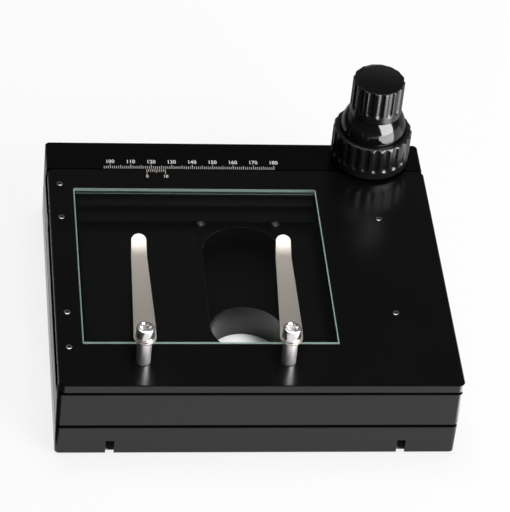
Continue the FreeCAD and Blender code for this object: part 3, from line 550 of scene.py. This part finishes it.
def small_plate_screws():
    """The screws let flush into the plate and the end bar."""
    left_x, right_x, rows = -86.0, 66.5, (55.0, -12.0)
    for node, places in (
        ("end_bar_screws", [(left_x, y) for y in rows]),
        ("plate_screws", [(right_x, y) for y in rows] + [(left_x, -35.4), (left_x, 79.5)]),
    ):
        bm = bmesh.new()
        for x, y in places:
            socket_head(
                bm, x, y, top=plate_top, radius=1.6, socket=1.5, depth=0.8, shank_r=1.0,
                foot=(plate_top - 1.2, plate_top - 4.8), dome=0.35,
            )
        piece("bright_" + node, bm, "table", "screw_steel", [node])


def softened_clip(side):
    """The spring strip with its punched edges rounded over."""
    bm = bmesh.new()
    bm.from_mesh(nodes["clip_" + side].data)
    bmesh.ops.remove_doubles(bm, verts=bm.verts, dist=1e-6)
    bmesh.ops.dissolve_limit(bm, angle_limit=math.radians(2), verts=bm.verts, edges=bm.edges)
    sharp = [e for e in bm.edges if len(e.link_faces) == 2 and e.calc_face_angle() > math.radians(50)]
    bmesh.ops.bevel(
        bm, geom=sharp, offset=0.16 * MM, affect="EDGES", segments=2, profile=0.5, material=-1,
        clamp_overlap=True,
    )
    return piece("spring_strip_" + side, bm, side + "_clip", "bright_steel", ["clip_" + side], smooth=15.0)


# Scale and vernier

def bars(bm, boxes, z):
    """Thin raised fillings, one for each (x0, x1, y0, y1) in millimetres."""
    for x0, x1, y0, y1 in boxes:
        size = Matrix.Diagonal(((x1 - x0) * MM, (y1 - y0) * MM, 0.03 * MM, 1))
        where = Matrix.Translation(((x0 + x1) / 2 * MM, (y0 + y1) / 2 * MM, (z + 0.005) * MM))
        bmesh.ops.create_cube(bm, size=1.0, matrix=where @ size)


def words(bm, text, x, y, z, height, narrow=0.78):
    """Numbers as flat fillings, centred on (x, y)."""
    line = bpy.data.curves.new("number", "FONT")
    line.body = text
    line.align_x = "CENTER"
    line.align_y = "CENTER"
    line.size = height * 1.4 * MM
    line.extrude = 0.01 * MM
    line.offset = 0.05 * MM
    line.resolution_u = 3
    holder = bpy.data.objects.new("number", line)
    flat = bpy.data.meshes.new_from_object(holder)
    flat.transform(Matrix.Translation((x * MM, y * MM, (z + 0.01) * MM)) @ Matrix.Diagonal((narrow, 1, 1, 1)))
    bm.from_mesh(flat)
    bpy.data.objects.remove(holder)
    bpy.data.curves.remove(line)
    bpy.data.meshes.remove(flat)


# Places along X of the line numbered 100 and of the vernier's first line, at rest
scale_zero = -61.0
vernier_zero = -43.4
vernier_step = 0.9


def scale_marks():
    """Millimetre lines and the numbers 100 to 180 on the rear strip."""
    bm = bmesh.new()
    lines = []
    foot = strip_front + 0.1
    half = 0.11
    for k in range(-3, 81):
        length = 3.0 if k % 10 == 0 else 2.5 if k % 5 == 0 else 1.9
        x = scale_zero + k
        lines.append((x - half, x + half, foot, foot + length))
    bars(bm, lines, plate_top)
    for k in range(9):
        words(bm, str(100 + 10 * k), scale_zero + 10 * k, strip_front + 5.3, plate_top, 2.6, 0.82)
    return piece("scale_filling", bm, "carriage", "scale_ink")


def vernier_marks():
    """Ten divisions over nine millimetres, numbered 0 and 10."""
    bm = bmesh.new()
    lines = []
    back = strip_front - 0.35
    half = 0.1
    for k in range(11):
        length = 3.2 if k % 10 == 0 else 2.6 if k == 5 else 1.9
        x = vernier_zero + vernier_step * k
        lines.append((x - half, x + half, back - length, back))
    bars(bm, lines, plate_top)
    for text, k in (("0", 0), ("10", 10)):
        words(bm, text, vernier_zero + vernier_step * k, back - 5.3, plate_top, 2.2)
    return piece("vernier_filling", bm, "table", "vernier_ink")


def light_path_rims():
    """The bare machined edges round the web's window and the base's hole, each broadened on one side into a
    painted highlight.
    """
    # Radius, height, the places of the two round ends along Y, and the bearing in degrees of the painted
    # highlight, where the band is broadest
    for name, body, r, z, front_y, back_y, highlight_bearing in (
        ("window_rim", "carriage", 19.3, 30.9, -9.5, 40.5, 116),
        ("hole_rim", "base", 17.8, 17.0, 0.0, 0.0, 132),
    ):
        bm = bmesh.new()
        ring = [(r + 0.02, z - 0.02), (r + 0.3, z - 0.02), (r + 0.28, z + 0.04), (r + 0.04, z + 0.04)]
        for v in lathe(bm, ring + ring[:1], 0, 0, 128):
            # The bare band is broadest where the highlight falls and thins to a hairline round the rest, so
            # its shape is a painted highlight on a real bare edge
            bearing = math.atan2(v.co.y, v.co.x) - math.radians(highlight_bearing)
            width = max(0.05, max(0, math.cos(bearing)) ** 2)
            out = math.hypot(v.co.x, v.co.y) / MM
            narrowed = (r + 0.02 + (out - r - 0.02) * width) / out
            v.co.x *= narrowed
            v.co.y *= narrowed
            v.co.y += (back_y if v.co.y > 0 else front_y) * MM
        piece(name, bm, body, "bare_rim")


light_path_rims()
fluted_ring()
flared_skirt()
fluted_cap()
cap_insert()
clip_fittings()
small_plate_screws()
softened_clip("left")
softened_clip("right")
scale_marks()
vernier_marks()


# Floor, light and camera

def white_floor():
    """A white bench that keeps the object's shadow. Under the stage the white lift is dropped but for a
    painted pool of light in the base's hole, and in reflections the bench shows painted shade and a painted
    bright patch.
    """
    half_width, front, back = 0.088, -0.058, 0.108
    painted_pool_shift, painted_pool_core, painted_pool_edge = (0.0045, -0.01, 0), 0.003, 0.0145
    painted_card_x, painted_card_y, painted_card_spread = 0.63, 0.78, 0.48
    f = Finish("white bench")
    seen = f.node("ShaderNodeLightPath", output="Is Camera Ray")
    glossy = f.node("ShaderNodeLightPath", output="Is Glossy Ray")
    through = f.node("ShaderNodeLightPath", output="Is Transmission Ray")
    matt = f.node("ShaderNodeBsdfDiffuse", {"Color": (0.86, 0.86, 0.86, 1.0), "Roughness": 0.5})
    white = f.node("ShaderNodeEmission", {"Color": (1.0, 1.0, 1.0, 1.0), "Strength": 1.0})
    # Painted reflection: a bright emission that only glossy rays see, laid on the bench at the front right.
    painted_reflection_card = f.node("ShaderNodeEmission", {"Color": (1.0, 0.96, 0.97, 1.0), "Strength": 9.0})
    from_painted_pool = f.node(
        "ShaderNodeVectorMath", {0: f.place(shift=painted_pool_shift)}, output="Value", operation="LENGTH",
    )
    x, y, _ = f.axes()

    def ramp(value, low, high, first=0.0, last=1.0):
        return f.node(
            "ShaderNodeMapRange", {0: value, 1: low, 2: high, 3: first, 4: last},
            interpolation_type="SMOOTHSTEP",
        )

    # Under the stage the white lift is dropped, and a painted pool of light, full within a small circle in
    # the base's hole and fading outwards, stands in for the light that falls through the glass.
    under = (abs(x) < half_width) * (y > front) * (y < back)
    painted_light_pool = ramp(from_painted_pool, painted_pool_core, painted_pool_edge, 0.95, 0.0)
    lift = seen.largest(glossy).largest(through) * (under * painted_light_pool + (1 - under) * 0.82)
    plain = f.node("ShaderNodeMixShader", {0: lift, 1: matt, 2: white})
    # In reflections only, the bench shows painted reflections: painted shade behind and to the left, and a
    # painted bright patch at the front right, an emission that glossy rays alone see
    left = ramp(x, -0.1, -0.093, 1.0, 0.0)
    painted_dark_mask = left.largest(ramp(y, 0.125, 0.16))
    painted_reflection_shade = f.blend(left, (0.35, 0.35, 0.35), (0.05, 0.05, 0.05))
    painted_dark_reflection = f.node("ShaderNodeEmission", {"Color": painted_reflection_shade, "Strength": 1.0})
    mirrored = f.node("ShaderNodeMixShader", {0: glossy * painted_dark_mask, 1: plain, 2: painted_dark_reflection})
    from_knob_x, from_knob_y = x - knob_x * MM, y - knob_y * MM
    along = from_knob_x * painted_card_x - from_knob_y * painted_card_y
    aside = abs(from_knob_x * painted_card_y + from_knob_y * painted_card_x)
    painted_card_mask = ramp(along, 0.03, 0.19) * (aside < along * painted_card_spread) * ramp(x, 0.1, 0.14)
    paint = f.surface(f.node("ShaderNodeMixShader", {0: glossy * painted_card_mask, 1: mirrored, 2: painted_reflection_card}))
    bm = bmesh.new()
    bmesh.ops.create_grid(bm, x_segments=1, y_segments=1, size=6.0)
    mesh = bpy.data.meshes.new("bench")
    bm.to_mesh(mesh)
    bm.free()
    mesh.transform(Matrix.Translation((0, 0, -0.2 * MM)))
    mesh.materials.append(paint)
    bench = bpy.data.objects.new("bench", mesh)
    bpy.context.scene.collection.objects.link(bench)


def studio():
    """A dim room with a white surround for the camera."""
    w = Finish("studio", world=True)
    seen = w.node("ShaderNodeLightPath", output="Is Camera Ray")
    _, back, up = w.axes("Generated")
    behind = w.node("ShaderNodeMapRange", {0: back, 1: 0.1, 2: 0.45}, interpolation_type="SMOOTHSTEP")
    ahead = w.node(
        "ShaderNodeValToRGB", {0: up},
        stops=[(0.0, 0.12), (0.2, 0.06), (0.84, 0.03), (0.93, 0.4), (1.0, 0.5)],
    )
    rear = w.node(
        "ShaderNodeValToRGB", {0: up},
        stops=[(0.0, 0.4), (0.42, 0.4), (0.53, 0.03), (0.84, 0.03), (0.93, 0.4), (1.0, 0.5)],
    )
    room = w.blend(behind, ahead, rear)
    dim = w.node("ShaderNodeBackground", {"Color": room, "Strength": 1.0})
    white = w.node("ShaderNodeBackground", {"Color": (1, 1, 1, 1), "Strength": 1.0})
    w.surface(w.node("ShaderNodeMixShader", {0: seen, 1: dim, 2: white}))
    bpy.context.scene.world = w.holder


def lamp(name, power, size, place, target, size_y=None, glossy=True, only=()):
    """A soft area lamp aimed at target; only lists the pieces that it shines on, if not all of them."""
    data = bpy.data.lights.new(name, "AREA")
    data.energy = power
    data.shape = "RECTANGLE"
    data.size = size
    data.size_y = size_y or size
    held = bpy.data.objects.new(name, data)
    held.location = place
    held.rotation_euler = (Vector(target) - Vector(place)).to_track_quat("-Z", "Y").to_euler()
    held.visible_glossy = glossy
    held.visible_transmission = glossy
    if only:
        lit = bpy.data.collections.new(name)
        for piece_name in only:
            lit.objects.link(bpy.data.objects[piece_name])
        held.light_linking.receiver_collection = lit
    bpy.context.scene.collection.objects.link(held)


def camera():
    """The photograph's viewpoint, in metres and degrees."""
    eye = (-0.1601, -0.9962, 0.9418)
    pitch, yaw, roll = (math.radians(a) for a in (40.93, 9.11, 6.28))
    ahead = Vector((math.sin(yaw) * math.cos(pitch), math.cos(yaw) * math.cos(pitch), -math.sin(pitch)))
    right = Vector((math.cos(yaw), -math.sin(yaw), 0))
    up = right.cross(ahead)
    turned_right = right * math.cos(roll) + up * math.sin(roll)
    turned_up = up * math.cos(roll) - right * math.sin(roll)
    data = bpy.data.cameras.new("camera")
    data.lens = 204.75
    data.sensor_width = 36.0
    data.clip_end = 50.0
    held = bpy.data.objects.new("camera", data)
    turned = Matrix((turned_right, turned_up, -ahead)).transposed()
    held.matrix_world = Matrix.Translation(eye) @ turned.to_4x4()
    bpy.context.scene.collection.objects.link(held)
    bpy.context.scene.camera = held


white_floor()
studio()
# The two panels that show as reflections shine only on the knobs and bright fittings, so that no
# view along their mirror direction whitens the plate
knob_pieces = ("fluted_x_ring", "flared_skirt", "fluted_y_cap")
fitting_pieces = ("turned_post_left", "turned_post_right", "bright_washers", "socket_cap_screws")
flat_pieces = ("bright_end_bar_screws", "bright_plate_screws", "spring_strip_left", "spring_strip_right")
plate_middle, knob_side = (0, 0.05, 0.03), (0.06, 0.1, 0.06)
lamp("overhead softbox", power=13.0, size=0.8, place=(0.05, 0.25, 1.45), target=plate_middle, glossy=False)
lamp(
    "overhead panel", power=13.0, size=0.8, place=(0.05, 0.25, 1.4), target=plate_middle,
    only=knob_pieces + fitting_pieces + flat_pieces,
)
lamp(
    "right key", power=16.0, size=1.0, size_y=1.1, place=(0.87, -0.76, 0.57), target=knob_side,
    glossy=False,
)
lamp(
    "tall panel", power=52.0, size=1.0, size_y=1.1, place=(0.83, -0.71, 0.55), target=knob_side,
    only=knob_pieces + fitting_pieces,
)
camera()

bpy.context.scene.view_settings.view_transform = "Standard"
